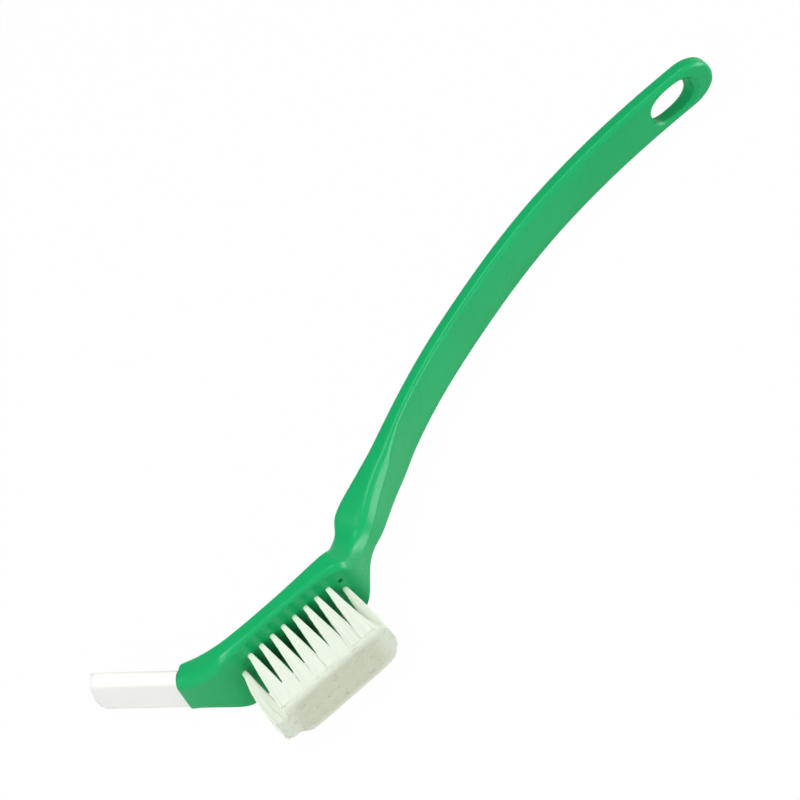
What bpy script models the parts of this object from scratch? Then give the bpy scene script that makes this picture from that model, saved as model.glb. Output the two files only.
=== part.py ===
"""Food processor brush, lying on its side.

One green moulding is head, neck and handle. A white scraper tip is plugged into the toe
of the head, and 36 tufts of bristle sit in blind holes. Each tuft is folded round a wire
anchor at the bottom of its hole, and tuft and anchor are one solid here.
X runs along the rows of tufts towards the handle, the bristles point along -Y, and Z is
up through the width of the head. Lengths are in metres.
"""
import math

import bmesh
import bpy
from mathutils import Vector

# Clearance between pieces that fit in or seat on one another
SEAT_GAP = 0.0003
CUT_OVERRUN = 0.002

# Field of tufts
ROW_COUNTS = (8, 10, 10, 8)
TUFT_PITCH = 0.00465
TUFT_HOLE_RADIUS = 0.0014
TUFT_HOLE_DEPTH = 0.005
TUFT_HOLE_SIDES = 10
BRISTLE_LENGTH = 0.028
BRISTLE_SPREAD_SHARE = 0.44
FIELD_SPREAD_SHARE = 0.05
BRISTLE_DRIFT = 0.0011
STRAND_TIP_SHARE = 0.55
STRAND_REACH_SHARE = 0.76
BRISTLE_BEND_SHARE = 0.55

# Head
HEAD_SIDE_MARGIN = 0.0076
HEAD_END_MARGIN = 0.0013
HEAD_THICKNESS = 0.0064
EDGE_RADIUS = 0.0018

# Toe that holds the scraper
TOE_LENGTH = 0.0176
TOE_RISE = 0.0108
TOE_WIDTH = 0.0168
TOE_THICKNESS = 0.0072
TOE_TILT_DEG = 48.3

# Neck and handle
NECK_LENGTH = 0.0262
NECK_RISE = 0.0186
NECK_WIDTH = 0.0162
KNUCKLE_THICKNESS = 0.0110
HANDLE_WIDTH = 0.0180
HANDLE_THICKNESS = 0.0050
HANDLE_END_THICKNESS = 0.0055
HANDLE_RUN = 0.1630
HANDLE_RISE = 0.0500
HANDLE_OVERRUN = 0.0222
HANDLE_NOSE = 0.0108
ARCH_POWER = 2.18
SWELL_SHARE = 0.62
SWELL_RUN_SHARE = 0.22
WAIST_SHARE = 0.4
WAIST_RUN_SHARE = 0.35
END_TURN_DEG = 84.0
END_INSET_SHARE = 0.8

# Hanging hole
HANG_HOLE_LENGTH = 0.0182
HANG_HOLE_WIDTH = 0.0122
HANG_HOLE_END_MARGIN = 0.0078
HANG_HOLE_LIP = 0.0007
HANG_HOLE_TILT_DEG = 18.0
HANG_HOLE_POWER = 2.5
HANG_HOLE_FLARE_SHARE = 2.5

# Moulding mark beside the last tuft of the top row
DIMPLE_RADIUS = 0.0007
DIMPLE_DEPTH = 0.0010

# Scraper tip
SCRAPER_LENGTH = 0.0326
SCRAPER_CROWN = 0.0018
SCRAPER_WIDTH = 0.0166
SCRAPER_THICKNESS = 0.0055
SCRAPER_EDGE = 0.0013
SCRAPER_BEVEL = 0.0020
SCRAPER_NOSE_SHARE = 0.35
TANG_DEPTH = 0.0080
TANG_WIDTH = 0.0105
TANG_THICKNESS = 0.0026

# How finely curves are cut
CORNER_STEPS = 4
HEAD_STEPS = 3
HANDLE_STATIONS = 26
END_STATIONS = 7
HANG_HOLE_SIDES = 32
SCRAPER_STEPS = 6
CREASE_ANGLE_DEG = 38.0

# Worked out from the sizes above
FACE_LENGTH = (max(ROW_COUNTS) - 1) * TUFT_PITCH + 2 * HEAD_END_MARGIN
HEAD_WIDTH = (len(ROW_COUNTS) - 1) * TUFT_PITCH + 2 * HEAD_SIDE_MARGIN
FACE_START = -FACE_LENGTH / 2
FACE_END = FACE_LENGTH / 2
HANDLE_START = FACE_END + NECK_LENGTH
HANDLE_CREST = HANDLE_START + HANDLE_RUN
HANDLE_END = HANDLE_CREST + HANDLE_OVERRUN
ROOT_RADIUS = TUFT_HOLE_RADIUS * math.cos(math.pi / TUFT_HOLE_SIDES) - SEAT_GAP
ROOT_INSET = SEAT_GAP
ROOT_DEPTH = TUFT_HOLE_DEPTH - ROOT_INSET - SEAT_GAP
FAN_SPREAD = TUFT_PITCH * BRISTLE_SPREAD_SHARE / (ROOT_RADIUS * STRAND_REACH_SHARE)

# Places of the flat sections between toe and neck, as shares of half the face's length
FLAT_SHARES = (-0.6, 0.0, 0.5)

# Sections of the toe, from its mouth to the flat face. Shares of the toe's length, rise, tilt,
# thickness and width: 1 is the toe's own value and 0 is the head's.
TOE_SHARES = (
    (1.00, 1.00, 1.00, 1.00, 1.00),
    (0.80, 0.68, 0.93, 1.00, 0.79),
    (0.59, 0.41, 0.74, 1.00, 0.44),
    (0.37, 0.18, 0.44, 0.50, 0.09),
    (0.17, 0.04, 0.20, 0.60, 0.02),
    (0.00, -0.03, 0.06, 0.50, 0.00),
)

# Sections of the neck, from the flat face to the handle. Shares of the neck's length and rise, the
# tilt in degrees, then the shares of the knuckle's thickness and the neck's width: 0 is the head's.
NECK_SHARES = (
    (0.00, 0.00, 4.0, 0.26, 0.08),
    (0.09, 0.03, 10.0, 0.24, 0.19),
    (0.19, 0.11, 19.0, 0.24, 0.37),
    (0.30, 0.26, 29.0, 0.31, 0.62),
    (0.41, 0.41, 36.0, 0.22, 0.88),
    (0.52, 0.545, 38.0, 0.24, 1.00),
    (0.63, 0.65, 37.0, 0.50, 0.99),
    (0.75, 0.755, 37.0, 0.80, 0.95),
)


def clear_scene():
    """Remove whatever the scene starts with."""
    for obj in list(bpy.data.objects):
        bpy.data.objects.remove(obj, do_unlink=True)


def make_material(name, colour, roughness, metallic):
    """A Principled material of one colour."""
    material = bpy.data.materials.new(name)
    material.use_nodes = True
    shader = material.node_tree.nodes["Principled BSDF"]
    shader.inputs["Base Color"].default_value = (*colour, 1.0)
    shader.inputs["Roughness"].default_value = roughness
    shader.inputs["Metallic"].default_value = metallic
    material.diffuse_color = (*colour, 1.0)
    return material


def mix(low, high, share):
    """The value that lies the given share of the way from low to high."""
    return low + (high - low) * share


def make_object(name, bm, material):
    """Turn a bmesh into a smooth-shaded object with faces pointing out."""
    bmesh.ops.recalc_face_normals(bm, faces=bm.faces)
    mesh = bpy.data.meshes.new(name)
    bm.to_mesh(mesh)
    bm.free()
    mesh.shade_smooth()
    mesh.set_sharp_from_angle(angle=math.radians(CREASE_ANGLE_DEG))
    if material:
        mesh.materials.append(material)
    obj = bpy.data.objects.new(name, mesh)
    bpy.context.collection.objects.link(obj)
    return obj


def make_cutter(name, bm):
    """A closed shape that is only there to be cut away from another."""
    cutter = make_object(name, bm, None)
    cutter.hide_render = True
    cutter.display_type = "WIRE"
    return cutter


def cut(obj, cutter):
    """Cut one object out of another with an exact Boolean."""
    boolean = obj.modifiers.new("cut_" + cutter.name, "BOOLEAN")
    boolean.operation = "DIFFERENCE"
    boolean.solver = "EXACT"
    boolean.object = cutter


def loft(rings):
    """A closed body through rings of points that all have the same count."""
    bm = bmesh.new()
    loops = []
    for ring in rings:
        verts = [bm.verts.new(point) for point in ring]
        edges = [bm.edges.new((verts[i - 1], verts[i])) for i in range(len(verts))]
        loops.append((verts, edges))
    for (_, edges), (_, next_edges) in zip(loops, loops[1:]):
        bmesh.ops.bridge_loops(bm, edges=edges + next_edges)
    bm.faces.new(loops[0][0])
    bm.faces.new(loops[-1][0])
    return bm


def rounded_section(thickness, width, edge, broad_steps):
    """Points (depth, height) round a rounded rectangle, with extra points on its two broad sides."""
    half = width / 2
    radius = min(edge, half, thickness / 2)
    corners = (
        (radius, half - radius, -1, 1),
        (thickness - radius, half - radius, 1, 1),
        (thickness - radius, radius - half, 1, -1),
        (radius, radius - half, -1, -1),
    )
    points = []
    for index, (depth, height, depth_sign, height_sign) in enumerate(corners):
        for step in range(CORNER_STEPS + 1):
            turn = math.radians(90) * step / CORNER_STEPS
            if index % 2:
                turn = math.radians(90) - turn
            points.append((
                depth + depth_sign * radius * math.cos(turn),
                height + height_sign * radius * math.sin(turn)))
        if index % 2:
            last_depth, last_height = points[-1]
            for step in range(1, broad_steps):
                points.append((last_depth, last_height * (1 - 2 * step / broad_steps)))
    return points


def section_ring(front, tilt_deg, thickness, width, edge):
    """A rounded rectangle across the moulding, seen along its length.

    front is the (x, y) of its bristle side, and the thickness runs from there along a
    direction that is +Y turned by tilt_deg towards -X.
    """
    tilt = math.radians(tilt_deg)
    across = Vector((-math.sin(tilt), math.cos(tilt), 0))
    start = Vector((front[0], front[1], 0))
    return [start + across * depth + Vector((0, 0, height))
            for depth, height in rounded_section(thickness, width, edge, 1)]


def smooth_value(before, low, high, after, t):
    """A value on the Catmull-Rom curve from low to high, kept between the two."""
    value = (2 * low + (high - before) * t + (2 * before - 5 * low + 4 * high - after) * t ** 2
             + (3 * low - before - 3 * high + after) * t ** 3) / 2
    return min(max(value, min(low, high)), max(low, high))


def smooth_sections(sections, steps):
    """Sections on a smooth curve through the given ones, level wherever these are level."""
    padded = [sections[0], *sections, sections[-1]]
    smooth = []
    for before, low, high, after in zip(padded, padded[1:], padded[2:], padded[3:]):
        for step in range(steps):
            smooth.append(tuple(
                smooth_value(*values, step / steps) for values in zip(before, low, high, after)))
    smooth.append(sections[-1])
    return smooth


def toe_sections():
    """Sections (x, y, tilt, thickness, width) from the mouth of the socket to the flat face."""
    sections = []
    for along, rise, tilt, thick, width in TOE_SHARES:
        sections.append((
            FACE_START - TOE_LENGTH * along,
            TOE_RISE * rise,
            -TOE_TILT_DEG * tilt,
            mix(HEAD_THICKNESS, TOE_THICKNESS, thick),
            mix(HEAD_WIDTH, TOE_WIDTH, width)))
    return sections


def neck_sections():
    """Sections from the flat face up to the start of the handle."""
    sections = []
    for along, rise, tilt, thick, width in NECK_SHARES:
        sections.append((
            FACE_END + NECK_LENGTH * along,
            NECK_RISE * rise,
            tilt,
            mix(HEAD_THICKNESS, KNUCKLE_THICKNESS, thick),
            mix(HEAD_WIDTH, NECK_WIDTH, width)))
    return sections


def arch(x):
    """Height of the handle's bristle side, and its slope in degrees, at x."""
    share = abs(HANDLE_CREST - x) / HANDLE_RUN
    height = NECK_RISE + HANDLE_RISE * (1 - share ** ARCH_POWER)
    slope = HANDLE_RISE * ARCH_POWER / HANDLE_RUN * share ** (ARCH_POWER - 1)
    return height, math.degrees(math.atan(math.copysign(slope, HANDLE_CREST - x)))


def handle_thickness(x):
    """Thickness of the handle: deep at the knuckle, slim along the arch, fuller at its end."""
    run = (x - HANDLE_START) / (HANDLE_END - HANDLE_START)
    swell = max(0, 1 - run / SWELL_RUN_SHARE) ** 2
    return (mix(HANDLE_THICKNESS, HANDLE_END_THICKNESS, run ** 2)
            + (KNUCKLE_THICKNESS - HANDLE_THICKNESS) * SWELL_SHARE * swell)


def handle_sections():
    """Sections along the arch, up to where the end starts to round off."""
    round_start = HANDLE_END - HANDLE_NOSE
    sections = []
    for index in range(HANDLE_STATIONS):
        along = index / (HANDLE_STATIONS - 1)
        x = mix(HANDLE_START, round_start, along)
        height, slope = arch(x)
        waist = max(0, 1 - along / WAIST_RUN_SHARE)
        width = mix(HANDLE_WIDTH, NECK_WIDTH, WAIST_SHARE * waist ** 2)
        sections.append((x, height, slope, handle_thickness(x), width))
    return sections


def end_sections():
    """Sections of the handle's round end, drawn in like a half ellipse."""
    sections = []
    for index in range(1, END_STATIONS + 1):
        turn = math.radians(END_TURN_DEG) * index / END_STATIONS
        x = HANDLE_END - HANDLE_NOSE + HANDLE_NOSE * math.sin(turn)
        height, slope = arch(x)
        thickness = handle_thickness(x)
        inset = EDGE_RADIUS * (1 - math.cos(turn)) ** 2 * END_INSET_SHARE
        sections.append((x, height + inset, slope, thickness - 2 * inset, HANDLE_WIDTH * math.cos(turn)))
    return sections


def handle_body():
    """The moulding before its holes are cut."""
    flat = [(FACE_END * share, 0.0, 0.0, HEAD_THICKNESS, HEAD_WIDTH) for share in FLAT_SHARES]
    sections = smooth_sections(toe_sections() + flat + neck_sections() + handle_sections()[:2], HEAD_STEPS)
    sections += handle_sections()[2:] + end_sections()
    return loft([section_ring(s[:2], s[2], s[3], s[4], EDGE_RADIUS) for s in sections])


def tuft_places():
    """Row number, number in the row and (x, z) of each tuft, the top row first."""
    places = []
    for row, count in enumerate(ROW_COUNTS):
        z = ((len(ROW_COUNTS) - 1) / 2 - row) * TUFT_PITCH
        for number in range(count):
            x = (number - (count - 1) / 2) * TUFT_PITCH
            places.append((row, number, x, z))
    return places


def add_blind_hole(bm, x, z, radius, depth):
    """A round cutter that enters the bristle face at (x, z)."""
    length = depth + CUT_OVERRUN
    made = bmesh.ops.create_cone(
        bm, cap_ends=True, segments=TUFT_HOLE_SIDES, radius1=radius, radius2=radius, depth=length)
    for vert in made["verts"]:
        vert.co = Vector((x + vert.co.x, vert.co.z + depth - length / 2, z - vert.co.y))


def tuft_hole_cutter():
    """All the tuft holes and the small moulding mark, as one cutter."""
    bm = bmesh.new()
    for _, _, x, z in tuft_places():
        add_blind_hole(bm, x, z, TUFT_HOLE_RADIUS, TUFT_HOLE_DEPTH)
    mark_x = (max(ROW_COUNTS) - 1) / 2 * TUFT_PITCH
    mark_z = (len(ROW_COUNTS) - 1) / 2 * TUFT_PITCH
    add_blind_hole(bm, mark_x, mark_z, DIMPLE_RADIUS, DIMPLE_DEPTH)
    return make_cutter("tuft_hole_cutter", bm)


def hang_hole_cutter():
    """The long round-ended hanging hole, wider at both faces than inside."""
    centre_x = HANDLE_END - HANG_HOLE_END_MARGIN - HANG_HOLE_LENGTH / 2
    face_y, _ = arch(centre_x)
    thickness = handle_thickness(centre_x)
    lean = math.tan(math.radians(HANG_HOLE_TILT_DEG))
    levels = (
        (-CUT_OVERRUN, HANG_HOLE_LIP * HANG_HOLE_FLARE_SHARE),
        (0.0, HANG_HOLE_LIP),
        (HANG_HOLE_LIP, 0.0),
        (thickness - HANG_HOLE_LIP, 0.0),
        (thickness, HANG_HOLE_LIP),
        (thickness + CUT_OVERRUN, HANG_HOLE_LIP * HANG_HOLE_FLARE_SHARE),
    )
    rings = []
    for depth, grow in levels:
        ring = []
        for side in range(HANG_HOLE_SIDES):
            turn = math.tau * side / HANG_HOLE_SIDES
            east = math.copysign(abs(math.cos(turn)) ** (2 / HANG_HOLE_POWER), math.cos(turn))
            north = math.copysign(abs(math.sin(turn)) ** (2 / HANG_HOLE_POWER), math.sin(turn))
            ring.append(Vector((
                centre_x + (HANG_HOLE_LENGTH / 2 + grow) * east - lean * depth,
                face_y + depth,
                (HANG_HOLE_WIDTH / 2 + grow) * north)))
        rings.append(ring)
    return make_cutter("hang_hole_cutter", loft(rings))


def toe_frame():
    """Place of the socket's mouth and the direction in which the scraper points out of it."""
    tilt = math.radians(TOE_TILT_DEG)
    front = Vector((FACE_START - TOE_LENGTH, TOE_RISE, 0))
    return front, Vector((-math.cos(tilt), math.sin(tilt), 0)), Vector((math.sin(tilt), math.cos(tilt), 0))


def tang_section(clearance):
    """Section of the scraper's tang, or of its socket when given a clearance."""
    points = rounded_section(
        TANG_THICKNESS + 2 * clearance, TANG_WIDTH + 2 * clearance, SCRAPER_EDGE, SCRAPER_STEPS)
    low = (TOE_THICKNESS - TANG_THICKNESS) / 2 - clearance
    return [(depth + low, height) for depth, height in points]


def blade_section(thickness, width):
    """Section of the scraper's blade, thinned evenly from both faces."""
    points = rounded_section(thickness, width, SCRAPER_EDGE, SCRAPER_STEPS)
    low = (SCRAPER_THICKNESS - thickness) / 2
    return [(depth + low, height) for depth, height in points]


def scraper_ring(along, section, crown):
    """A section of the scraper placed along its length, pushed out by crown at mid-width."""
    front, outward, across = toe_frame()
    ring = []
    for depth, height in section:
        bulge = crown * (1 - (2 * height / SCRAPER_WIDTH) ** 2)
        ring.append(front + outward * (along + bulge) + across * depth + Vector((0, 0, height)))
    return ring


def scraper_body():
    """Scraper tip: a tang in the socket, a shoulder on its mouth and a bevelled, crowned end."""
    full = blade_section(SCRAPER_THICKNESS, SCRAPER_WIDTH)
    nose_thickness = SCRAPER_THICKNESS * SCRAPER_NOSE_SHARE
    nose = blade_section(nose_thickness, SCRAPER_WIDTH - SCRAPER_EDGE)
    return loft([
        scraper_ring(-TANG_DEPTH, tang_section(0), 0),
        scraper_ring(SEAT_GAP, tang_section(0), 0),
        scraper_ring(SEAT_GAP, full, 0),
        scraper_ring(SCRAPER_LENGTH / 2, full, 0),
        scraper_ring(SCRAPER_LENGTH - SCRAPER_BEVEL, full, SCRAPER_CROWN),
        scraper_ring(SCRAPER_LENGTH, nose, SCRAPER_CROWN),
    ])


def socket_cutter():
    """The socket in the toe that takes the scraper's tang."""
    return make_cutter("socket_cutter", loft([
        scraper_ring(-TANG_DEPTH - SEAT_GAP, tang_section(SEAT_GAP), 0),
        scraper_ring(CUT_OVERRUN, tang_section(SEAT_GAP), 0),
    ]))


def is_strand_face(face):
    """True for every other triangle of the root, those that point the same way."""
    centre = face.calc_center_median()
    corner = face.verts[0].co - centre
    turn = math.degrees(math.atan2(corner.y, corner.x)) % 120
    return min(turn, 120 - turn) < 30


def place_ring(face, base_centre, spread, size, depth, lean):
    """Move a strand's end face to its place on the fanned-out tuft."""
    centre = face.calc_center_median()
    target = Vector((base_centre.x * spread + lean.x, base_centre.y * spread + lean.y, depth))
    for vert in face.verts:
        vert.co = target + (vert.co - centre) * size


def tuft_body(x, z):
    """One tuft: its root, folded round the anchor in the hole, and the strands that fan out of it.

    It is modelled round its own axis, with local z along the strands, and then turned so
    that the strands point along -Y.
    """
    bm = bmesh.new()
    strand_number = bm.faces.layers.int.new("strand_number")
    bmesh.ops.create_circle(bm, cap_ends=True, radius=ROOT_RADIUS, segments=6)
    bmesh.ops.poke(bm, faces=bm.faces[:])
    bmesh.ops.subdivide_edges(bm, edges=bm.edges[:], cuts=1, use_grid_fill=True)
    bmesh.ops.triangulate(bm, faces=bm.faces[:])
    strands = [face for face in bm.faces if is_strand_face(face)]
    bases = [face.calc_center_median() for face in strands]
    for number, face in enumerate(strands):
        face[strand_number] = number
    rim = [edge for edge in bm.edges if edge.is_boundary]
    root = bmesh.ops.extrude_edge_only(bm, edges=rim)
    low_verts = [item for item in root["geom"] if isinstance(item, bmesh.types.BMVert)]
    bmesh.ops.translate(bm, verts=low_verts, vec=(0, 0, -ROOT_DEPTH))
    low_edges = [edge for edge in bm.edges if edge.is_boundary]
    bmesh.ops.contextual_create(bm, geom=low_edges)
    lean = Vector((x, z)) * FIELD_SPREAD_SHARE - Vector((BRISTLE_DRIFT, 0))
    for share in (BRISTLE_BEND_SHARE, 1.0):
        ends = bmesh.ops.extrude_discrete_faces(bm, faces=strands)["faces"]
        spread = mix(1, FAN_SPREAD, share ** 0.8)
        size = STRAND_TIP_SHARE ** 0.5
        for face in ends:
            base = bases[face[strand_number]]
            place_ring(face, base, spread, size, BRISTLE_LENGTH * share, lean * share)
        strands = ends
    for vert in bm.verts:
        vert.co = Vector((x + vert.co.x, ROOT_INSET - vert.co.z, z + vert.co.y))
    return bm


def stand_on_origin(objects):
    """Carry all pieces on one empty, so that the middle of their underside is the origin."""
    corners = [vert.co for obj in objects for vert in obj.data.vertices]
    low = Vector([min(corner[axis] for corner in corners) for axis in range(3)])
    high = Vector([max(corner[axis] for corner in corners) for axis in range(3)])
    frame = bpy.data.objects.new("brush_frame", None)
    bpy.context.collection.objects.link(frame)
    frame.location = (-(low.x + high.x) / 2, -(low.y + high.y) / 2, -low.z)
    for obj in bpy.data.objects:
        if obj is not frame:
            obj.parent = frame


def build():
    """Make every piece of the brush."""
    clear_scene()
    green = make_material("green_polypropylene", (0.03, 0.42, 0.13), 0.35, 0.0)
    white = make_material("white_polypropylene", (0.83, 0.84, 0.79), 0.4, 0.0)
    nylon = make_material("pale_nylon_bristle", (0.80, 0.86, 0.72), 0.5, 0.0)
    body = make_object("handle_and_head", handle_body(), green)
    cut(body, tuft_hole_cutter())
    cut(body, hang_hole_cutter())
    cut(body, socket_cutter())
    pieces = [body, make_object("scraper_tip", scraper_body(), white)]
    for row, number, x, z in tuft_places():
        pieces.append(make_object(f"tuft_row{row + 1}_{number + 1:02d}", tuft_body(x, z), nylon))
    stand_on_origin(pieces)


build()
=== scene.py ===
"""The finish of a food processor brush that lies on its side on a white table.

Every piece is made round the middle of the bristle face, in metres: X runs along the rows of
tufts towards the handle, the bristles point along -Y, and Z runs through the width of the head.
BRUSH_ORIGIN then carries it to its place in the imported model.
"""

import math
import random

import bmesh
import bpy
import numpy as np
from mathutils import Matrix, Vector


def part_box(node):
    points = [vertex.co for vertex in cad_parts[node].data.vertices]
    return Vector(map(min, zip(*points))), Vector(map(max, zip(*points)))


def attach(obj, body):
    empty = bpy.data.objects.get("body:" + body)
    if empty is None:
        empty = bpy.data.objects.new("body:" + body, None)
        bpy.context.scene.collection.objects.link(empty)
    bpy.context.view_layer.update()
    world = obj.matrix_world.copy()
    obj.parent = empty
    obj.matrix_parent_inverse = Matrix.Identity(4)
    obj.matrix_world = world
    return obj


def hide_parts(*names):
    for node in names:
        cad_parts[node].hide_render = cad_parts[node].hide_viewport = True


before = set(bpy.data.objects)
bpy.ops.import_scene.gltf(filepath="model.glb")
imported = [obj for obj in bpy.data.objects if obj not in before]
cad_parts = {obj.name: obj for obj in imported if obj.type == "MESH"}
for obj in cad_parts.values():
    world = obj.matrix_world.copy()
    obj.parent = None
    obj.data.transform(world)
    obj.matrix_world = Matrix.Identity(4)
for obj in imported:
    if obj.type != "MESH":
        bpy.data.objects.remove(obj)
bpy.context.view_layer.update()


# Camera: a long lens, turned so that the handle runs up to the right across a square picture.
# It looks down on the brush from its bristle side, over the side of the head that faces up.
CAMERA_AZIMUTH_DEG = -12.352
CAMERA_ELEVATION_DEG = 48.205
CAMERA_ROLL_DEG = -31.247
CAMERA_DISTANCE = 1.6
CAMERA_CLIP = (0.05, 20.0)
CAMERA_TARGET = Vector((-0.00748, 0.02364, 0.0146))
LENS_MM = 219.75
SENSOR_MM = 36.0


def direction(azimuth_deg, elevation_deg):
    """Unit vector towards a place seen at this azimuth and elevation, where azimuth 0 is -Y."""
    azimuth, elevation = math.radians(azimuth_deg), math.radians(elevation_deg)
    return Vector((
        math.sin(azimuth) * math.cos(elevation),
        -math.cos(azimuth) * math.cos(elevation),
        math.sin(elevation)))


def look_from(obj, target, azimuth_deg, elevation_deg, distance, roll_deg=0.0):
    """Place a camera or a lamp so that it looks at the target from that side."""
    backward = direction(azimuth_deg, elevation_deg)
    level = Vector((0, 0, 1)).cross(backward).normalized()
    upright = Matrix((level, backward.cross(level), backward)).transposed()
    obj.matrix_world = (
        Matrix.Translation(target + backward * distance)
        @ (upright @ Matrix.Rotation(math.radians(roll_deg), 3, "Z")).to_4x4())


camera_data = bpy.data.cameras.new("studio_camera")
camera_data.lens = LENS_MM
camera_data.sensor_width = SENSOR_MM
camera_data.clip_start, camera_data.clip_end = CAMERA_CLIP
camera = bpy.data.objects.new("studio_camera", camera_data)
bpy.context.collection.objects.link(camera)
look_from(
    camera, CAMERA_TARGET, CAMERA_AZIMUTH_DEG, CAMERA_ELEVATION_DEG, CAMERA_DISTANCE, CAMERA_ROLL_DEG)
bpy.context.scene.camera = camera
bpy.context.scene.view_settings.view_transform = "Standard"


# Table and room: a matt white table top that runs out of the picture, under a pale, plain sky that
# dims upwards and towards the back. The table shows as white to the eye, and keeps a trace of shadow.
TABLE_SIZE = 12.0
TABLE_COLOUR = "#DADAD8"
TABLE_WHITE_SHARE = 0.985
ROOM_COLOUR = "#FFFFFF"
ROOM_LOW_STRENGTH = 0.70
ROOM_HIGH_STRENGTH = 0.42
ROOM_TURN_SHARE = 0.45
ROOM_BACK_SHARE = 0.60
ROOM_BACK_FROM = -0.3
ROOM_BACK_FULL = 0.5
MM_PER_METRE = 1000.0


def linear(hex_colour):
    """The linear RGBA colour that an sRGB hex value stands for."""
    values = [int(hex_colour[place:place + 2], 16) / 255 for place in (1, 3, 5)]
    return (*[v / 12.92 if v <= 0.04045 else ((v + 0.055) / 1.055) ** 2.4 for v in values], 1.0)


def add_node(tree, kind, inputs=(), **settings):
    """Add a node, with its settings, and give each input its value or its link."""
    node = tree.nodes.new("ShaderNode" + kind)
    for name, value in settings.items():
        setattr(node, name, value)
    for name, value in dict(inputs).items():
        if isinstance(value, bpy.types.NodeSocket):
            tree.links.new(value, node.inputs[name])
        else:
            node.inputs[name].default_value = value
    return node


def add_noise(tree, vector, size_mm, detail):
    """Add noise whose patches are about so many millimetres across."""
    return add_node(tree, "TexNoise", {
        "Vector": vector, "Scale": MM_PER_METRE / size_mm, "Detail": detail})


def new_material(name):
    """An empty node material and its output node."""
    material = bpy.data.materials.new(name)
    material.use_nodes = True
    tree = material.node_tree
    tree.nodes.clear()
    return material, tree, tree.nodes.new("ShaderNodeOutputMaterial")


table_paint, tree, output = new_material("matt_white_table")
seen = add_node(tree, "LightPath")
white_share = add_node(tree, "Math", {
    0: seen.outputs["Is Camera Ray"], 1: TABLE_WHITE_SHARE}, operation="MULTIPLY")
matt = add_node(tree, "BsdfDiffuse", {"Color": linear(TABLE_COLOUR)})
white = add_node(tree, "Emission", {"Color": (1.0, 1.0, 1.0, 1.0), "Strength": 1.0})
table_mix = add_node(tree, "MixShader", {
    0: white_share.outputs[0], 1: matt.outputs[0], 2: white.outputs[0]})
tree.links.new(table_mix.outputs[0], output.inputs["Surface"])

bm = bmesh.new()
bmesh.ops.create_grid(bm, x_segments=1, y_segments=1, size=TABLE_SIZE / 2)
table_mesh = bpy.data.meshes.new("table_top")
bm.to_mesh(table_mesh)
bm.free()
table_mesh.materials.append(table_paint)
table = bpy.data.objects.new("table_top", table_mesh)
bpy.context.collection.objects.link(table)

room = bpy.data.worlds.new("pale_room")
bpy.context.scene.world = room
room.use_nodes = True
tree = room.node_tree
tree.nodes.clear()
look = add_node(tree, "TexCoord")
height = add_node(tree, "SeparateXYZ", {0: look.outputs["Generated"]})
upward = add_node(tree, "MapRange", {
    "Value": height.outputs["Z"], "From Min": 0.0, "From Max": ROOM_TURN_SHARE,
    "To Min": ROOM_LOW_STRENGTH, "To Max": ROOM_HIGH_STRENGTH}, interpolation_type="SMOOTHSTEP")
backward = add_node(tree, "MapRange", {
    "Value": height.outputs["Y"], "From Min": ROOM_BACK_FROM, "From Max": ROOM_BACK_FULL,
    "To Min": 1.0, "To Max": ROOM_BACK_SHARE}, interpolation_type="SMOOTHSTEP")
share = add_node(tree, "Math", {0: upward.outputs[0], 1: backward.outputs[0]}, operation="MULTIPLY")
sky = add_node(tree, "Background", {"Color": linear(ROOM_COLOUR), "Strength": share.outputs[0]})
add_node(tree, "OutputWorld", {"Surface": sky.outputs[0]})


# Lamps: two softboxes over the left shoulder give the even studio light, a broad one low on the
# right draws the pale streak down the neck, and a small one behind the thin bright line beside it.
LAMPS = (
    # name, azimuth, elevation, distance, width, height, watts
    ("left_softbox", -50.0, 43.0, 0.9, 0.50, 0.50, 2.65),
    ("top_softbox", -100.0, 70.0, 0.9, 0.40, 0.40, 3.3),
    ("back_softbox", 94.0, 64.0, 0.9, 0.12, 0.10, 0.6),
    ("right_softbox", 76.0, 9.0, 0.9, 0.90, 0.34, 5.4),
)

for name, azimuth, elevation, distance, width, height, watts in LAMPS:
    lamp_data = bpy.data.lights.new(name, "AREA")
    lamp_data.shape = "RECTANGLE"
    lamp_data.size = width
    lamp_data.size_y = height
    lamp_data.energy = watts
    lamp = bpy.data.objects.new(name, lamp_data)
    bpy.context.collection.objects.link(lamp)
    look_from(lamp, Vector((0, 0, 0)), azimuth, elevation, distance)


# Head, neck and handle: one moulding of green polypropylene. Its section is a rounded rectangle
# that turns and narrows along the brush. On the bristle side of toe and neck its edges are flat
# facets with soft turns, as the mould was cut there.
TUFT_PITCH = 0.00465
ROW_COUNTS = (8, 10, 10, 8)
HEAD_SIDE_MARGIN = 0.0076
HEAD_END_MARGIN = 0.0013
HEAD_THICKNESS = 0.0064
EDGE_RADIUS = 0.0018
HEAD_EDGE_RADIUS = 0.0014
TOE_LENGTH = 0.0176
TOE_RISE = 0.0108
TOE_WIDTH = 0.0168
TOE_THICKNESS = 0.0072
TOE_TILT_DEG = 48.3
TOE_EDGE_RADIUS = 0.0036
MOUTH_ROUND = 0.0006
NECK_LENGTH = 0.0262
NECK_RISE = 0.0186
NECK_WIDTH = 0.0162
NECK_EDGE_RADIUS = 0.00495
NECK_EDGE_FADE = 0.0260
FULL_FRONT_SHARE = 0.893
FACET_TILT_DEG = 35.0
FACET_SHARE = 0.55
FACET_TURN_SHARE = 0.25
FACET_STEP = 2
FACET_FROM = 0.0027
FACET_FULL = 0.0043
KNUCKLE_THICKNESS = 0.0110
HANDLE_WIDTH = 0.0183
HANDLE_THICKNESS = 0.0051
HANDLE_END_THICKNESS = 0.0057
HANDLE_RUN = 0.1630
HANDLE_RISE = 0.0500
HANDLE_OVERRUN = 0.0222
HANDLE_NOSE = 0.0108
HANDLE_CROWN = 0.0003
ARCH_POWER = 2.18
SWELL_SHARE = 0.363
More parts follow.
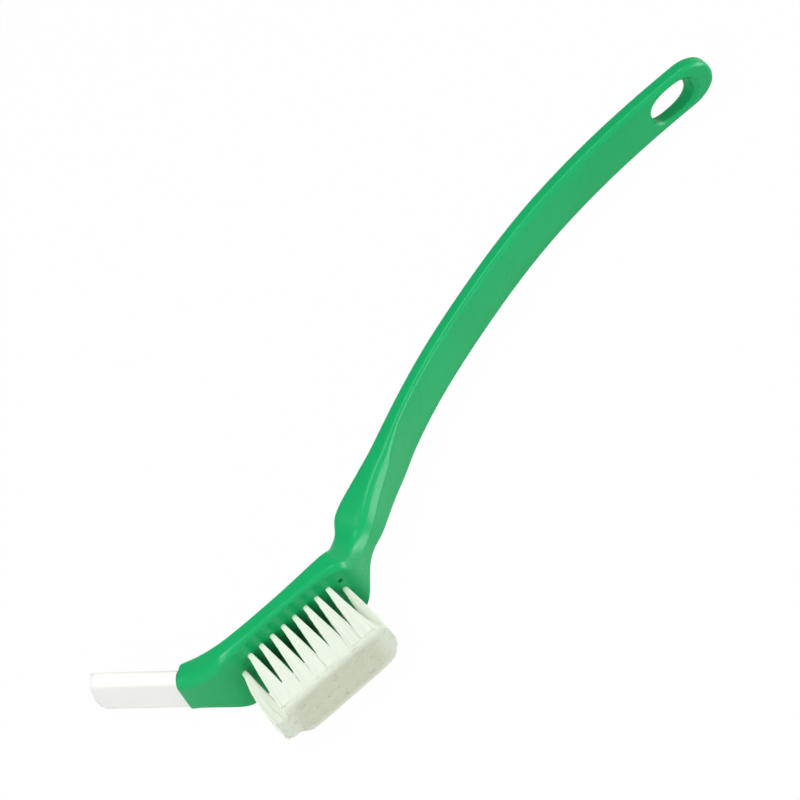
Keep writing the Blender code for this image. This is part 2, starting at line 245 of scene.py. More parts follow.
SWELL_RUN_SHARE = 0.22
WAIST_SHARE = 0.4
WAIST_RUN_SHARE = 0.35
END_TURN_DEG = 88.0
TUFT_HOLE_RADIUS = 0.00092
TUFT_HOLE_DEPTH = 0.0050
TUFT_HOLE_LIP = 0.00012
TUFT_HOLE_SIDES = 20
DIMPLE_RADIUS = 0.0007
DIMPLE_DEPTH = 0.0010
HANG_HOLE_LENGTH = 0.0182
HANG_HOLE_WIDTH = 0.0122
HANG_HOLE_END_MARGIN = 0.0078
HANG_HOLE_LIP = 0.0007
HANG_HOLE_TILT_DEG = 18.0
HANG_HOLE_POWER = 2.5
HANG_HOLE_SIDES = 72
HANG_HOLE_LIP_STEPS = 5
TANG_DEPTH = 0.0080
TANG_WIDTH = 0.0105
TANG_THICKNESS = 0.0026
TANG_EDGE = 0.0008
SEAT_GAP = 0.0003
CUT_OVERRUN = 0.002

FACE_LENGTH = (max(ROW_COUNTS) - 1) * TUFT_PITCH + 2 * HEAD_END_MARGIN
HEAD_WIDTH = (len(ROW_COUNTS) - 1) * TUFT_PITCH + 2 * HEAD_SIDE_MARGIN
FACE_START = -FACE_LENGTH / 2
FACE_END = FACE_LENGTH / 2
HANDLE_START = FACE_END + NECK_LENGTH
HANDLE_CREST = HANDLE_START + HANDLE_RUN
HANDLE_END = HANDLE_CREST + HANDLE_OVERRUN
CORNER_STEPS = 8
BROAD_STEPS = 10
NARROW_STEPS = 4
CURVE_STEPS = 10
FAIRING_PASSES = 110
HANDLE_STATIONS = 150
END_STATIONS = 28
MOUTH_STATIONS = 5
CREASE_ANGLE_DEG = 32.0
# The curve of toe, head and neck runs on as far as this station of the handle.
JOINT_STATION = 6

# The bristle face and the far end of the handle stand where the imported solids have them.
moulding_low, moulding_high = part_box("handle_and_head")
BRUSH_ORIGIN = Vector((
    moulding_high.x - HANDLE_END,
    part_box("tuft_row1_01")[1].y - (TUFT_HOLE_DEPTH - SEAT_GAP),
    (moulding_low.z + moulding_high.z) / 2))

# Shares of the toe's length, rise, tilt, thickness, width and edge: 1 is its own value at the
# mouth, and 0 is the head's.
TOE_SHARES = (
    (1.00, 1.000, 1.000, 1.48, 1.02, 0.76),
    (0.80, 0.783, 0.819, 1.26, 0.95, 1.30),
    (0.59, 0.512, 0.652, 1.00, 0.66, 1.20),
    (0.37, 0.242, 0.450, 0.77, 0.35, 1.20),
    (0.17, 0.047, 0.250, 0.58, 0.03, 0.88),
    (0.00, -0.030, 0.062, 0.38, 0.00, 0.25),
)
# Places along half the bristle face, and the share of the head's thickness there.
FLAT_SHARES = ((-0.6, 0.94), (0.0, 0.945), (0.5, 0.99))
# Places along the handle where the cooled moulding has crept from its arch, and how far.
CREEP = ((0.0, 0.00108), (0.073, 0.00013), (0.178, 0.00035), (0.390, -0.00042), (0.600, 0.0), (1.0, 0.0))
# Shares of the neck's length and rise, the tilt in degrees, then the shares of the knuckle's
# thickness, of the neck's width and of its edge: 0 is the head's.
NECK_SHARES = (
    (0.00, -0.030, -2.2, 0.39, 0.04, 0.25),
    (0.09, -0.030, 5.2, 0.55, 0.36, 0.63),
    (0.19, 0.070, 13.0, 0.57, 0.72, 0.87),
    (0.30, 0.301, 20.7, 0.36, 1.04, 0.98),
    (0.41, 0.442, 27.6, 0.27, 1.22, 1.01),
    (0.52, 0.561, 32.9, 0.44, 1.25, 1.02),
    (0.63, 0.652, 36.8, 0.72, 1.17, 1.00),
    (0.75, 0.730, 40.1, 1.13, 1.03, 0.98),
)


def mix(low, high, share):
    """The value that lies the given share of the way from low to high."""
    return low + (high - low) * share


def smooth_step(share):
    """A share from 0 to 1 that starts and ends level."""
    share = min(max(share, 0.0), 1.0)
    return share * share * (3 - 2 * share)


def arch(x):
    """Height of the handle's bristle side, and its slope in degrees, at x."""
    share = abs(HANDLE_CREST - x) / HANDLE_RUN
    height = NECK_RISE + HANDLE_RISE * (1 - share ** ARCH_POWER)
    run = (x - HANDLE_START) / (HANDLE_END - HANDLE_START)
    for (start, low), (end, high) in zip(CREEP, CREEP[1:]):
        if start <= run <= end:
            height += mix(low, high, smooth_step((run - start) / (end - start)))
    slope = HANDLE_RISE * ARCH_POWER / HANDLE_RUN * share ** (ARCH_POWER - 1)
    return height, math.degrees(math.atan(math.copysign(slope, HANDLE_CREST - x)))


def handle_thickness(x):
    """Thickness of the handle: deep at the knuckle, slim along the arch, fuller at its end."""
    run = (x - HANDLE_START) / (HANDLE_END - HANDLE_START)
    swell = max(0, 1 - run / SWELL_RUN_SHARE) ** 2
    return (mix(HANDLE_THICKNESS, HANDLE_END_THICKNESS, run ** 2)
            + (KNUCKLE_THICKNESS - HANDLE_THICKNESS) * SWELL_SHARE * swell)


def handle_row(along):
    """Section of the handle at a share of the way to where its end rounds off."""
    x = mix(HANDLE_START, HANDLE_END - HANDLE_NOSE, along)
    height, slope = arch(x)
    waist = max(0, 1 - along / WAIST_RUN_SHARE)
    width = mix(HANDLE_WIDTH, NECK_WIDTH, WAIST_SHARE * waist ** 2)
    edge = mix(NECK_EDGE_RADIUS, EDGE_RADIUS, smooth_step((x - HANDLE_START) / NECK_EDGE_FADE))
    crown = HANDLE_CROWN * smooth_step((x - HANDLE_START) / NECK_EDGE_FADE)
    return (x, height, slope, handle_thickness(x), width, edge, crown, 0.0)


def curve_rows(rows, steps):
    """Rows on a smooth curve through the given ones, faired along their length."""
    padded = np.array([rows[0], *rows, rows[-1]])
    t = np.linspace(0, 1, steps, endpoint=False)[:, None]
    pieces = []
    for before, low, high, after in zip(padded, padded[1:], padded[2:], padded[3:]):
        curve = (2 * low + (high - before) * t + (2 * before - 5 * low + 4 * high - after) * t ** 2
                 + (3 * low - before - 3 * high + after) * t ** 3) / 2
        pieces.append(np.clip(curve, np.minimum(low, high), np.maximum(low, high)))
    curve = np.concatenate([*pieces, padded[-1:]])
    for _ in range(FAIRING_PASSES):
        curve[1:-1] += (curve[:-2] - 2 * curve[1:-1] + curve[2:]) / 4
    return [tuple(row) for row in curve]


def moulding_rows():
    """Sections (x, y, tilt, thickness, width, front edge, crown, inset) from mouth to far end."""
    rows = []
    for along, rise, tilt, thick, width, edge in TOE_SHARES:
        rows.append((
            FACE_START - TOE_LENGTH * along, TOE_RISE * rise, -TOE_TILT_DEG * tilt,
            mix(HEAD_THICKNESS, TOE_THICKNESS, thick), mix(HEAD_WIDTH, TOE_WIDTH, width),
            mix(HEAD_EDGE_RADIUS, TOE_EDGE_RADIUS, edge), 0.0, 0.0))
    for along, thick in FLAT_SHARES:
        rows.append((
            FACE_END * along, 0.0, 0.0, HEAD_THICKNESS * thick, HEAD_WIDTH, HEAD_EDGE_RADIUS, 0.0, 0.0))
    for along, rise, tilt, thick, width, edge in NECK_SHARES:
        rows.append((
            FACE_END + NECK_LENGTH * along, NECK_RISE * rise, tilt,
            mix(HEAD_THICKNESS, KNUCKLE_THICKNESS, thick), mix(HEAD_WIDTH, NECK_WIDTH, width),
            mix(HEAD_EDGE_RADIUS, NECK_EDGE_RADIUS, edge), 0.0, 0.0))
    handle = [handle_row(index / HANDLE_STATIONS) for index in range(HANDLE_STATIONS + 1)]
    rows = curve_rows(rows + [handle[0], handle[JOINT_STATION]], CURVE_STEPS) + handle[JOINT_STATION + 1:]
    mouth = rows[0]
    rows = [row for row in rows if math.dist(row[:2], mouth[:2]) > MOUTH_ROUND]
    tilt = math.radians(TOE_TILT_DEG)
    for step in reversed(range(MOUTH_STATIONS)):
        turn = math.radians(90) * step / (MOUTH_STATIONS - 1)
        back = MOUTH_ROUND * (1 - math.cos(turn))
        rows.insert(0, (
            mouth[0] + back * math.cos(tilt), mouth[1] - back * math.sin(tilt),
            *mouth[2:7], MOUTH_ROUND * (1 - math.sin(turn))))
    for step in range(1, END_STATIONS + 1):
        turn = math.radians(END_TURN_DEG) * step / END_STATIONS
        x = HANDLE_END - HANDLE_NOSE * (1 - math.sin(turn))
        height, slope = arch(x)
        rim = max(0.0, EDGE_RADIUS - (HANDLE_END - x))
        inset = EDGE_RADIUS - math.sqrt(EDGE_RADIUS ** 2 - rim ** 2)
        rows.append((
            x, height + inset, slope, handle_thickness(x) - 2 * inset,
            HANDLE_WIDTH * math.cos(turn), EDGE_RADIUS, HANDLE_CROWN, 0.0))
    return rows


def facet_edge(radius):
    """Points (depth, distance from the side) over a wide edge: tight turn, flat facet, wide turn."""
    tilt = math.radians(FACET_TILT_DEG)
    wide_steps = CORNER_STEPS - FACET_STEP - 1
    points = [(0.0, 0.0)]
    for step in range(1, CORNER_STEPS + 1):
        if step <= FACET_STEP:
            low, high, bend = tilt * (step - 1) / FACET_STEP, tilt * step / FACET_STEP, FACET_TURN_SHARE
        else:
            low = mix(tilt, math.pi / 2, (step - FACET_STEP - 2) / wide_steps)
            high = mix(tilt, math.pi / 2, (step - FACET_STEP - 1) / wide_steps)
            bend = 1.0
        depth, along = points[-1]
        if step == FACET_STEP + 1:
            points.append((depth + FACET_SHARE * math.sin(tilt), along + FACET_SHARE * math.cos(tilt)))
        else:
            points.append((
                depth + bend * (math.cos(low) - math.cos(high)),
                along + bend * (math.sin(high) - math.sin(low))))
    scale = radius / points[-1][0]
    return [(depth * scale, (points[-1][1] - along) * scale) for depth, along in points]


def section_outline(thickness, width, front_edge, back_edge, crown):
    """Points (depth, height) round a section: wide front edges get facets, broad sides swell."""
    half = width / 2
    points = []
    for corner, (across, upward) in enumerate(((-1, 1), (1, 1), (1, -1), (-1, -1))):
        radius = min(front_edge if across < 0 else back_edge, half, thickness / 2)
        centre_depth = radius if across < 0 else thickness - radius
        arc = []
        for step in range(CORNER_STEPS + 1):
            turn = math.radians(180 - 90 * (corner + step / CORNER_STEPS))
            arc.append((
                centre_depth + radius * math.cos(turn),
                upward * (half - radius) + radius * math.sin(turn)))
        if across < 0 and radius > FACET_FROM:
            facet = facet_edge(radius)
            share = smooth_step((radius - FACET_FROM) / (FACET_FULL - FACET_FROM))
            arc = [
                (mix(depth, flat_depth, share), mix(height, upward * (half - inward), share))
                for (depth, height), (flat_depth, inward) in zip(arc, facet[::upward])]
        if points:
            points += between(points[-1], arc[0], BROAD_STEPS if corner % 2 == 0 else NARROW_STEPS)
        points += arc
    points += between(points[-1], points[0], BROAD_STEPS)
    flat_half = max(half - front_edge, half / 2)
    swelled = []
    for depth, height in points:
        swell = crown * max(0.0, 1 - (height / flat_half) ** 2)
        swelled.append((depth + math.copysign(swell, depth - thickness / 2), height))
    return swelled


def between(start, end, steps):
    """The points that divide a line into so many steps, without its ends."""
    return [(mix(start[0], end[0], step / steps), mix(start[1], end[1], step / steps))
            for step in range(1, steps)]


def add_ring(bm, points):
    """A closed ring of edges through the points."""
    verts = bmesh.ops.create_circle(bm, segments=len(points), radius=1.0)["verts"]
    for vert, point in zip(verts, points):
        vert.co = point
    return list({edge for vert in verts for edge in vert.link_edges})


def loft(bm, rings):
    """A closed body through rings of points that all have the same count."""
    loops = [add_ring(bm, points) for points in rings]
    for edges, next_edges in zip(loops, loops[1:]):
        bmesh.ops.bridge_loops(bm, edges=edges + next_edges)
    bmesh.ops.contextual_create(bm, geom=loops[0])
    bmesh.ops.contextual_create(bm, geom=loops[-1])


def moulding_ring(row):
    """The outline of one section, placed across the brush."""
    x, y, tilt_deg, thickness, width, front_edge, crown, inset = row
    tilt = math.radians(tilt_deg)
    across = Vector((-math.sin(tilt), math.cos(tilt), 0))
    fuller = FULL_FRONT_SHARE * max(0.0, front_edge - EDGE_RADIUS)
    outline = section_outline(
        thickness + fuller - 2 * inset, width - 2 * inset, front_edge - inset, EDGE_RADIUS - inset, crown)
    return [Vector((x, y, 0)) + across * (depth + inset - fuller) + Vector((0, 0, height))
            for depth, height in outline]


def shade(mesh):
    """Shade a mesh smooth, apart from the edges that turn by more than the crease angle."""
    mesh.shade_smooth()
    mesh.set_sharp_from_angle(angle=math.radians(CREASE_ANGLE_DEG))


def piece_from(bm, name, material):
    """Turn a bmesh into a smooth-shaded piece in its place, with its faces pointing out."""
    bmesh.ops.recalc_face_normals(bm, faces=bm.faces)
    bmesh.ops.translate(bm, verts=bm.verts, vec=BRUSH_ORIGIN)
    mesh = bpy.data.meshes.new(name)
    bm.to_mesh(mesh)
    bm.free()
    shade(mesh)
    if material:
        mesh.materials.append(material)
    obj = bpy.data.objects.new(name, mesh)
    bpy.context.collection.objects.link(obj)
    return obj


def cut_away(piece, cutter):
    """Cut one closed shape out of a piece for good."""
    boolean = piece.modifiers.new("cut", "BOOLEAN")
    boolean.operation = "DIFFERENCE"
    boolean.solver = "EXACT"
    boolean.object = cutter
    evaluated = piece.evaluated_get(bpy.context.evaluated_depsgraph_get())
    whole = piece.data
    piece.data = bpy.data.meshes.new_from_object(evaluated)
    piece.modifiers.clear()
    piece.data.name = whole.name + "_cut"
    bpy.data.objects.remove(cutter)
    bpy.data.meshes.remove(whole)


def tuft_places():
    """Row number, x and z of each tuft, the top row first."""
    places = []
    for row, count in enumerate(ROW_COUNTS):
        z = ((len(ROW_COUNTS) - 1) / 2 - row) * TUFT_PITCH
        for number in range(count):
            places.append((row, (number - (count - 1) / 2) * TUFT_PITCH, z))
    return places


def add_blind_hole(bm, x, z, radius, depth):
    """A round cutter that enters the bristle face, flared to leave a small lip."""
    levels = (
        (-CUT_OVERRUN, radius + TUFT_HOLE_LIP),
        (0.0, radius + TUFT_HOLE_LIP),
        (TUFT_HOLE_LIP, radius),
        (depth, radius),
    )
    turns = [math.tau * side / TUFT_HOLE_SIDES for side in range(TUFT_HOLE_SIDES)]
    loft(bm, [
        [Vector((x + level_radius * math.cos(turn), y, z + level_radius * math.sin(turn))) for turn in turns]
        for y, level_radius in levels])


def hang_hole_rings():
    """Rings of the long round-ended hole, with a rounded lip at both faces."""
    centre_x = HANDLE_END - HANG_HOLE_END_MARGIN - HANG_HOLE_LENGTH / 2
    face_y, _ = arch(centre_x)
    thickness = handle_thickness(centre_x)
    lean = math.tan(math.radians(HANG_HOLE_TILT_DEG))
    levels = [(-CUT_OVERRUN, HANG_HOLE_LIP + CUT_OVERRUN)]
    for step in range(HANG_HOLE_LIP_STEPS + 1):
        turn = math.radians(90) * step / HANG_HOLE_LIP_STEPS
        levels.append((HANG_HOLE_LIP * math.sin(turn), HANG_HOLE_LIP * (1 - math.sin(turn))))
    levels += [(thickness - depth, grow) for depth, grow in reversed(levels)]
    rings = []
    for depth, grow in levels:
        ring = []
        for side in range(HANG_HOLE_SIDES):
            turn = math.tau * side / HANG_HOLE_SIDES
            east = math.copysign(abs(math.cos(turn)) ** (2 / HANG_HOLE_POWER), math.cos(turn))
            north = math.copysign(abs(math.sin(turn)) ** (2 / HANG_HOLE_POWER), math.sin(turn))
            ring.append(Vector((
                centre_x + (HANG_HOLE_LENGTH / 2 + grow) * east - lean * depth,
                face_y + depth,
                (HANG_HOLE_WIDTH / 2 + grow) * north)))
        rings.append(ring)
    return rings


def toe_place(along, depth, height):
    """A point from the socket's mouth: along its axis, outwards, then across and up."""
    tilt = math.radians(TOE_TILT_DEG)
    return Vector((
        FACE_START - TOE_LENGTH - along * math.cos(tilt) + depth * math.sin(tilt),
        TOE_RISE + along * math.sin(tilt) + depth * math.cos(tilt),
        height))


def tang_outline(clearance):
    """Section of the scraper's tang, or of its socket when given a clearance."""
    low = (TOE_THICKNESS - TANG_THICKNESS) / 2 - clearance
    outline = section_outline(
        TANG_THICKNESS + 2 * clearance, TANG_WIDTH + 2 * clearance, TANG_EDGE, TANG_EDGE, 0.0)
    return [(depth + low, height) for depth, height in outline]


# Glossy moulded polypropylene: an even, slightly waxy green with a soft shine. Its skin has a
# faint orange-peel wave, and the colour drifts a little along the flow of the plastic.
GREEN_DEEP = "#05A45D"
GREEN_FULL = "#08AE65"
GREEN_ROUGHNESS = 0.28
GREEN_ROUGHNESS_DRIFT = 0.04
FLOW_DRIFT_MM = 18.0
SKIN_WAVE_MM = 1.6
SKIN_GRAIN_MM = 0.35
SKIN_WAVE_DEPTH = 0.000012
SKIN_GRAIN_DEPTH = 0.0000015
PLASTIC_IOR = 1.49
GREEN_SPECULAR = 0.36

green_plastic, tree, output = new_material("glossy_green_polypropylene")
where = add_node(tree, "TexCoord")
flow = add_noise(tree, where.outputs["Object"], FLOW_DRIFT_MM, 2.0)
green = add_node(tree, "Mix", {
    0: flow.outputs[0], 6: linear(GREEN_DEEP), 7: linear(GREEN_FULL)}, data_type="RGBA")
gloss = add_node(tree, "MapRange", {
    "Value": flow.outputs[0], "To Min": GREEN_ROUGHNESS - GREEN_ROUGHNESS_DRIFT,
    "To Max": GREEN_ROUGHNESS + GREEN_ROUGHNESS_DRIFT})
wave = add_noise(tree, where.outputs["Object"], SKIN_WAVE_MM, 1.0)
grain = add_noise(tree, where.outputs["Object"], SKIN_GRAIN_MM, 2.0)
wave_bump = add_node(tree, "Bump", {
    "Height": wave.outputs[0], "Distance": SKIN_WAVE_DEPTH})
skin_bump = add_node(tree, "Bump", {
    "Height": grain.outputs[0], "Distance": SKIN_GRAIN_DEPTH, "Normal": wave_bump.outputs[0]})
plastic = add_node(tree, "BsdfPrincipled", {
    "Base Color": green.outputs[2], "Roughness": gloss.outputs[0], "IOR": PLASTIC_IOR,
    "Specular IOR Level": GREEN_SPECULAR, "Normal": skin_bump.outputs[0]})
tree.links.new(plastic.outputs[0], output.inputs["Surface"])

bm = bmesh.new()
loft(bm, [moulding_ring(row) for row in moulding_rows()])
green_moulding = piece_from(bm, "green_moulding", green_plastic)

bm = bmesh.new()
for _, x, z in tuft_places():
    add_blind_hole(bm, x, z, TUFT_HOLE_RADIUS, TUFT_HOLE_DEPTH)
dimple_x = (max(ROW_COUNTS) - 1) / 2 * TUFT_PITCH
dimple_z = (len(ROW_COUNTS) - 1) / 2 * TUFT_PITCH
add_blind_hole(bm, dimple_x, dimple_z, DIMPLE_RADIUS, DIMPLE_DEPTH)
cut_away(green_moulding, piece_from(bm, "tuft_hole_cutter", None))
bm = bmesh.new()
loft(bm, hang_hole_rings())
cut_away(green_moulding, piece_from(bm, "hang_hole_cutter", None))
bm = bmesh.new()
socket = tang_outline(SEAT_GAP)
loft(bm, [
    [toe_place(along, *point) for point in socket] for along in (-TANG_DEPTH - SEAT_GAP, CUT_OVERRUN)])
cut_away(green_moulding, piece_from(bm, "socket_cutter", None))
shade(green_moulding.data)
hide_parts("handle_and_head")
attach(green_moulding, "root")


# Scraper tip: a stiff white polypropylene blade. Its tang is pressed into the socket of the toe and
# its shoulder seats on the mouth. Its far end is bowed, a little askew, and bevelled on the bristle side.
SCRAPER_LENGTH = 0.0312
SCRAPER_CROWN = 0.0015
SCRAPER_CROWN_POWER = 3.0
SCRAPER_LEAN = 0.0011
SCRAPER_WIDTH = 0.0166
SCRAPER_THICKNESS = 0.0055
SCRAPER_SKEW = 0.0013
SCRAPER_EDGE = 0.0024
SCRAPER_BEVEL = 0.0028
SCRAPER_NOSE_SHARE = 0.82
SHOULDER_GAP = 0.00005
SCRAPER_STATIONS = 24
BEVEL_STATIONS = 10
WHITE_FULL = "#F8F8F5"
WHITE_SHADE = "#F4F5F1"
WHITE_ROUGHNESS = 0.34

white_plastic, tree, output = new_material("satin_white_polypropylene")
where = add_node(tree, "TexCoord")
flow = add_noise(tree, where.outputs["Object"], FLOW_DRIFT_MM, 2.0)
white = add_node(tree, "Mix", {
    0: flow.outputs[0], 6: linear(WHITE_SHADE), 7: linear(WHITE_FULL)}, data_type="RGBA")
wave = add_noise(tree, where.outputs["Object"], SKIN_WAVE_MM, 1.0)
skin_bump = add_node(tree, "Bump", {
    "Height": wave.outputs[0], "Distance": SKIN_WAVE_DEPTH})
plastic = add_node(tree, "BsdfPrincipled", {
    "Base Color": white.outputs[2], "Roughness": WHITE_ROUGHNESS, "IOR": PLASTIC_IOR,
    "Normal": skin_bump.outputs[0]})
tree.links.new(plastic.outputs[0], output.inputs["Surface"])


def blade_ring(along, thickness, width, share):
    """A section of the blade, thinned from the bristle side; its far end bows, leans and runs askew."""
    low = SCRAPER_THICKNESS - thickness
    edge = min(SCRAPER_EDGE, thickness / 2)
    ring = []
    for depth, height in section_outline(thickness, width, edge, edge, 0.0):
        bulge = SCRAPER_CROWN * (1 - abs(2 * height / SCRAPER_WIDTH) ** SCRAPER_CROWN_POWER)
        lean = SCRAPER_LEAN * (depth + low) / SCRAPER_THICKNESS
        skew = -SCRAPER_SKEW * 2 * height / SCRAPER_WIDTH
        ring.append(toe_place(along + share * (bulge + lean + skew), depth + low, height))
    return ring


rings = [[toe_place(along, *point) for point in tang_outline(0.0)] for along in (-TANG_DEPTH, SHOULDER_GAP)]
rings.append(blade_ring(SHOULDER_GAP, SCRAPER_THICKNESS, SCRAPER_WIDTH, 0.0))
bevel_start = SCRAPER_LENGTH - SCRAPER_BEVEL
for station in range(1, SCRAPER_STATIONS + 1):
    share = station / SCRAPER_STATIONS
    rings.append(blade_ring(
        mix(SHOULDER_GAP, bevel_start, share), SCRAPER_THICKNESS, SCRAPER_WIDTH, share ** 2))
for station in range(1, BEVEL_STATIONS + 1):
    share = station / BEVEL_STATIONS
    rings.append(blade_ring(
        mix(bevel_start, SCRAPER_LENGTH, share),
        SCRAPER_THICKNESS * mix(1, SCRAPER_NOSE_SHARE, share ** 2),
        SCRAPER_WIDTH - SCRAPER_EDGE * share ** 4, 1.0))
bm = bmesh.new()
loft(bm, rings)
scraper_blade = piece_from(bm, "scraper_blade", white_plastic)
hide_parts("scraper_tip")
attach(scraper_blade, "root")


# Tuft anchors: flat staples of bright drawn steel wire, one across the bottom of each hole. The
# filaments are folded over them, and the machine that sets the tufts drives them in.
ANCHOR_LENGTH = 0.0019
ANCHOR_HEIGHT = 0.0012
ANCHOR_THICKNESS = 0.00036
ANCHOR_DEPTH = 0.0034
ANCHOR_BEVEL = 0.00008
STEEL_COLOUR = "#B9BBBD"
STEEL_ROUGHNESS = 0.32
STEEL_ROUGHNESS_DRIFT = 0.08
DRAW_LINE_MM = 0.08
DRAW_LINE_STRETCH = 0.05

anchor_steel, tree, output = new_material("drawn_steel_wire")
where = add_node(tree, "TexCoord")
lines = add_node(tree, "Mapping", {
    "Vector": where.outputs["Object"], "Scale": (DRAW_LINE_STRETCH, 1.0, 1.0)})
streaks = add_noise(tree, lines.outputs[0], DRAW_LINE_MM, 1.0)
shine = add_node(tree, "MapRange", {
    "Value": streaks.outputs[0], "To Min": STEEL_ROUGHNESS - STEEL_ROUGHNESS_DRIFT,
    "To Max": STEEL_ROUGHNESS + STEEL_ROUGHNESS_DRIFT})
steel = add_node(tree, "BsdfPrincipled", {
    "Base Color": linear(STEEL_COLOUR), "Metallic": 1.0, "Roughness": shine.outputs[0]})
tree.links.new(steel.outputs[0], output.inputs["Surface"])

bm = bmesh.new()
for _, x, z in tuft_places():
    made = bmesh.ops.create_cube(bm, size=1.0)["verts"]
    bmesh.ops.scale(bm, verts=made, vec=(ANCHOR_LENGTH, ANCHOR_HEIGHT, ANCHOR_THICKNESS))
    bmesh.ops.translate(bm, verts=made, vec=(x, ANCHOR_DEPTH + ANCHOR_HEIGHT / 2, z))
bmesh.ops.bevel(
    bm, geom=bm.edges[:], offset=ANCHOR_BEVEL, affect="EDGES", segments=2, profile=0.5, material=-1)
tuft_anchors = piece_from(bm, "tuft_anchors", anchor_steel)
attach(tuft_anchors, "root")


# Bristles: 36 tufts of crimp-free nylon filament, folded over their anchors. They fan out until
# the tips fill the space between them, and are trimmed with a soft rim. Use has splayed the toe end.
# The filaments are made a little coarser than real ones, so that their tips close up.
# Shade is painted on the cut ends of the tips: darker in the middle of the block, lighter on its rim.
FILAMENTS = 310
FILAMENT_WIDTH = 0.00038
FILAMENT_STEPS = 5
BRISTLE_LENGTH = 0.0278
TRIM_DRIFT = 0.00002
TUFT_TRIM_DRIFT = 0.00005
RIM_DROP = 0.0013
RIM_START = 0.72
RIM_SQUARENESS = 6
RIM_DROP_POWER = 3
ROOT_FILL_RADIUS = 0.00060
ROOT_DEPTH = 0.0046
TIP_HALF_SIDE = 0.00243
BRISTLE_DRIFT = 0.0020
TIPS_HALF_LENGTH = 0.0231
TIPS_HALF_WIDTH = 0.0093
TIPS_ROUNDING = (0.17, 0.26)
TIPS_ROUNDING_POWER = 3.0
TOE_END_STRETCH = (1.03, 0.975, 0.975, 0.995)
FAR_CORNER_CUT = 0.29
SPLAY_REACH = 0.0070
SPLAY_MIDDLE = 0.0012
SPLAY_TIP = 0.0006
FAN_POWER = 1.35
STRAY_SHARE = 0.035
STRETCH_POWER = 3
GOLDEN_TURN_DEG = 137.508
# Painted shade: the tips in the middle of the block are darkened towards this share and those on its rim
# kept light, as light falls on the cut end. The drift is a random tone.
MIDDLE_PAINTED_SHADE = 0.2
SHADE_DRIFT = 0.1
STRAND_SEED = 36
# The lighter nylon colour is the filament's own. The darker one is painted shade for the middle of the
# block's cut end.
NYLON_FULL = "#F1F9EC"
NYLON_PAINTED_SHADE = "#D6DCC4"
NYLON_ROUGHNESS = 0.45
NYLON_IOR = 1.53
NYLON_GLOW_SHARE = 0.08

nylon, tree, output = new_material("translucent_nylon_filament")
# The filaments' colour carries painted shade: darker in the middle of the block, lighter on its rim.
strand = add_node(tree, "Attribute", attribute_name="strand_painted_shade")
painted_shade_tone = add_node(tree, "Mix", {
    0: strand.outputs["Fac"], 6: linear(NYLON_PAINTED_SHADE), 7: linear(NYLON_FULL)}, data_type="RGBA")
filament = add_node(tree, "BsdfPrincipled", {
    "Base Color": painted_shade_tone.outputs[2], "Roughness": NYLON_ROUGHNESS, "IOR": NYLON_IOR})
glow = add_node(tree, "BsdfTranslucent", {"Color": painted_shade_tone.outputs[2]})
nylon_mix = add_node(tree, "MixShader", {
    0: NYLON_GLOW_SHARE, 1: filament.outputs[0], 2: glow.outputs[0]})
tree.links.new(nylon_mix.outputs[0], output.inputs["Surface"])

chance = random.Random(STRAND_SEED)
TOE_TUFT_X = -(max(ROW_COUNTS) - 1) / 2 * TUFT_PITCH - TIP_HALF_SIDE


def tips_stretch(row, x, z):
    """Stretch of a row at its tips: one round outline at the handle end, a cut far corner at the toe."""
    if x < 0:
        far_share = max(0.0, -z / TUFT_PITCH - 1)
        return TOE_END_STRETCH[row] - FAR_CORNER_CUT * far_share
    row_half = (ROW_COUNTS[row] - 1) / 2 * TUFT_PITCH + TIP_HALF_SIDE
    rounding = TIPS_ROUNDING[0 if z > 0 else 1] * abs(z / TIPS_HALF_WIDTH) ** TIPS_ROUNDING_POWER
    return TIPS_HALF_LENGTH * (1 - rounding) / row_half


def rim_share(x, z):
    """How near the tips here stand to the rim of the block: 0 in its middle, 1 on its outline."""
    reach = (abs(x / TIPS_HALF_LENGTH) ** RIM_SQUARENESS
             + abs(z / TIPS_HALF_WIDTH) ** RIM_SQUARENESS) ** (1 / RIM_SQUARENESS)
    return min(1.0, max(0.0, (reach - RIM_START) / (1 - RIM_START)))


def filament_place(x, z, stretch, base, fan, share, trim):
    """Middle of one filament at a share of its length, from the bottom of its hole to its tip."""
    depth = mix(ROOT_DEPTH, -(BRISTLE_LENGTH + trim), share)
    out = max(0.0, -depth) / BRISTLE_LENGTH
    spread = 1 - max(0.0, 1 - out) ** FAN_POWER
    first = max(0.0, 1 - (x + fan[0] - TOE_TUFT_X) / SPLAY_REACH)
    splay = first * (SPLAY_MIDDLE * math.sin(math.pi * out) + SPLAY_TIP * out)
    stretched = (x + fan[0]) * (stretch - 1) * out ** STRETCH_POWER
    return Vector((
        x + mix(base[0], fan[0], spread) + stretched - BRISTLE_DRIFT * out - splay,
        depth,
        z + mix(base[1], fan[1], spread)))


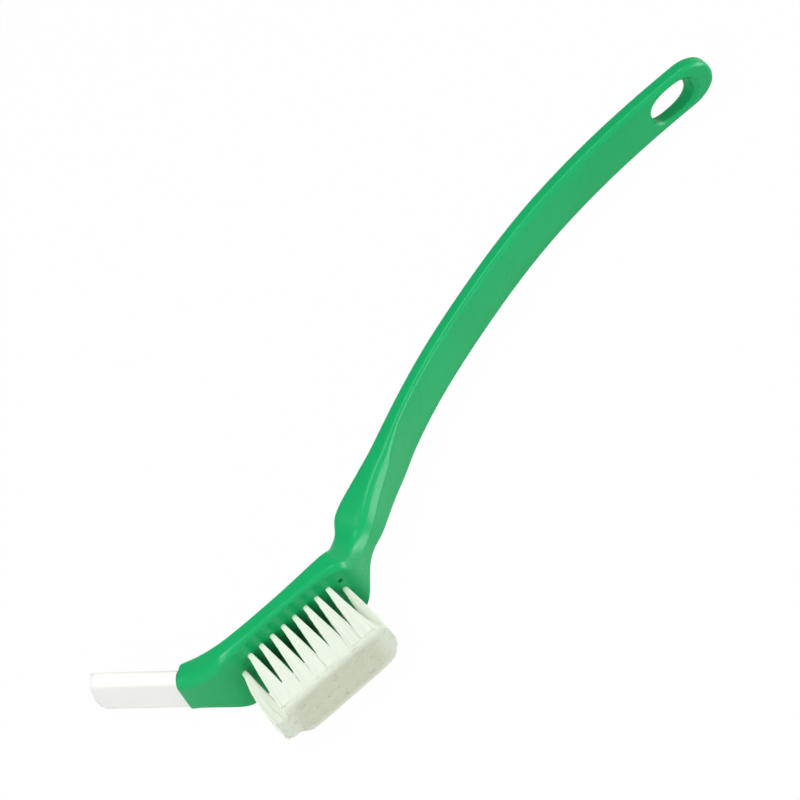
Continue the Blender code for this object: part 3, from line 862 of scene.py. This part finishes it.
def add_tuft(bm, routes, x, z, row):
    """Lay out one tuft: a small square in the hole for each filament, and the route it takes."""
    tuft_trim = chance.uniform(-TUFT_TRIM_DRIFT, TUFT_TRIM_DRIFT)
    for index in range(FILAMENTS):
        reach = math.sqrt((index + 0.5) / FILAMENTS)
        turn = math.radians(GOLDEN_TURN_DEG * index)
        base = (ROOT_FILL_RADIUS * reach * math.cos(turn), ROOT_FILL_RADIUS * reach * math.sin(turn))
        stray = 1 + chance.gauss(0, STRAY_SHARE)
        tip_turn = turn + chance.gauss(0, STRAY_SHARE)
        square = 1 / max(abs(math.cos(tip_turn)), abs(math.sin(tip_turn)))
        tip_reach = TIP_HALF_SIDE * reach * stray * square
        fan = (tip_reach * math.cos(tip_turn), tip_reach * math.sin(tip_turn))
        stretch = tips_stretch(row, x + fan[0], z + fan[1])
        rim = rim_share((x + fan[0]) * stretch, z + fan[1])
        trim = tuft_trim + chance.uniform(-TRIM_DRIFT, TRIM_DRIFT) - RIM_DROP * rim ** RIM_DROP_POWER
        centres = [
            filament_place(x, z, stretch, base, fan, step / FILAMENT_STEPS, trim)
            for step in range(FILAMENT_STEPS + 1)]
        made = bmesh.ops.create_grid(
            bm, x_segments=1, y_segments=1, size=FILAMENT_WIDTH / 2,
            matrix=Matrix.Translation(centres[0]) @ Matrix.Rotation(math.radians(90), 4, "X"))
        face = made["verts"][0].link_faces[0]
        # Painted shade: darker for filaments in the middle of the block, lighter on its rim, less a random
        # drift of tone.
        face[painted_shade_layer] = mix(MIDDLE_PAINTED_SHADE, 1.0, math.sqrt(rim)) - SHADE_DRIFT * chance.random()
        face[number_layer] = len(routes)
        routes.append(centres)


for row in range(len(ROW_COUNTS)):
    bm = bmesh.new()
    painted_shade_layer = bm.faces.layers.float.new("strand_painted_shade")
    number_layer = bm.faces.layers.int.new("strand_number")
    routes = []
    for place_row, x, z in tuft_places():
        if place_row == row:
            add_tuft(bm, routes, x, z, row)
    ends = bm.faces[:]
    for step in range(1, FILAMENT_STEPS + 1):
        ends = bmesh.ops.extrude_discrete_faces(bm, faces=ends)["faces"]
        for face in ends:
            move = routes[face[number_layer]][step] - face.calc_center_median()
            for vert in face.verts:
                vert.co += move
    open_edges = [edge for edge in bm.edges if edge.is_boundary]
    bmesh.ops.holes_fill(bm, edges=open_edges, sides=4)
    bristle_row = piece_from(bm, f"bristle_row_{row + 1}", nylon)
    names = [f"tuft_row{row + 1}_{number + 1:02d}" for number in range(ROW_COUNTS[row])]
    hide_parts(*names)
    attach(bristle_row, "root")
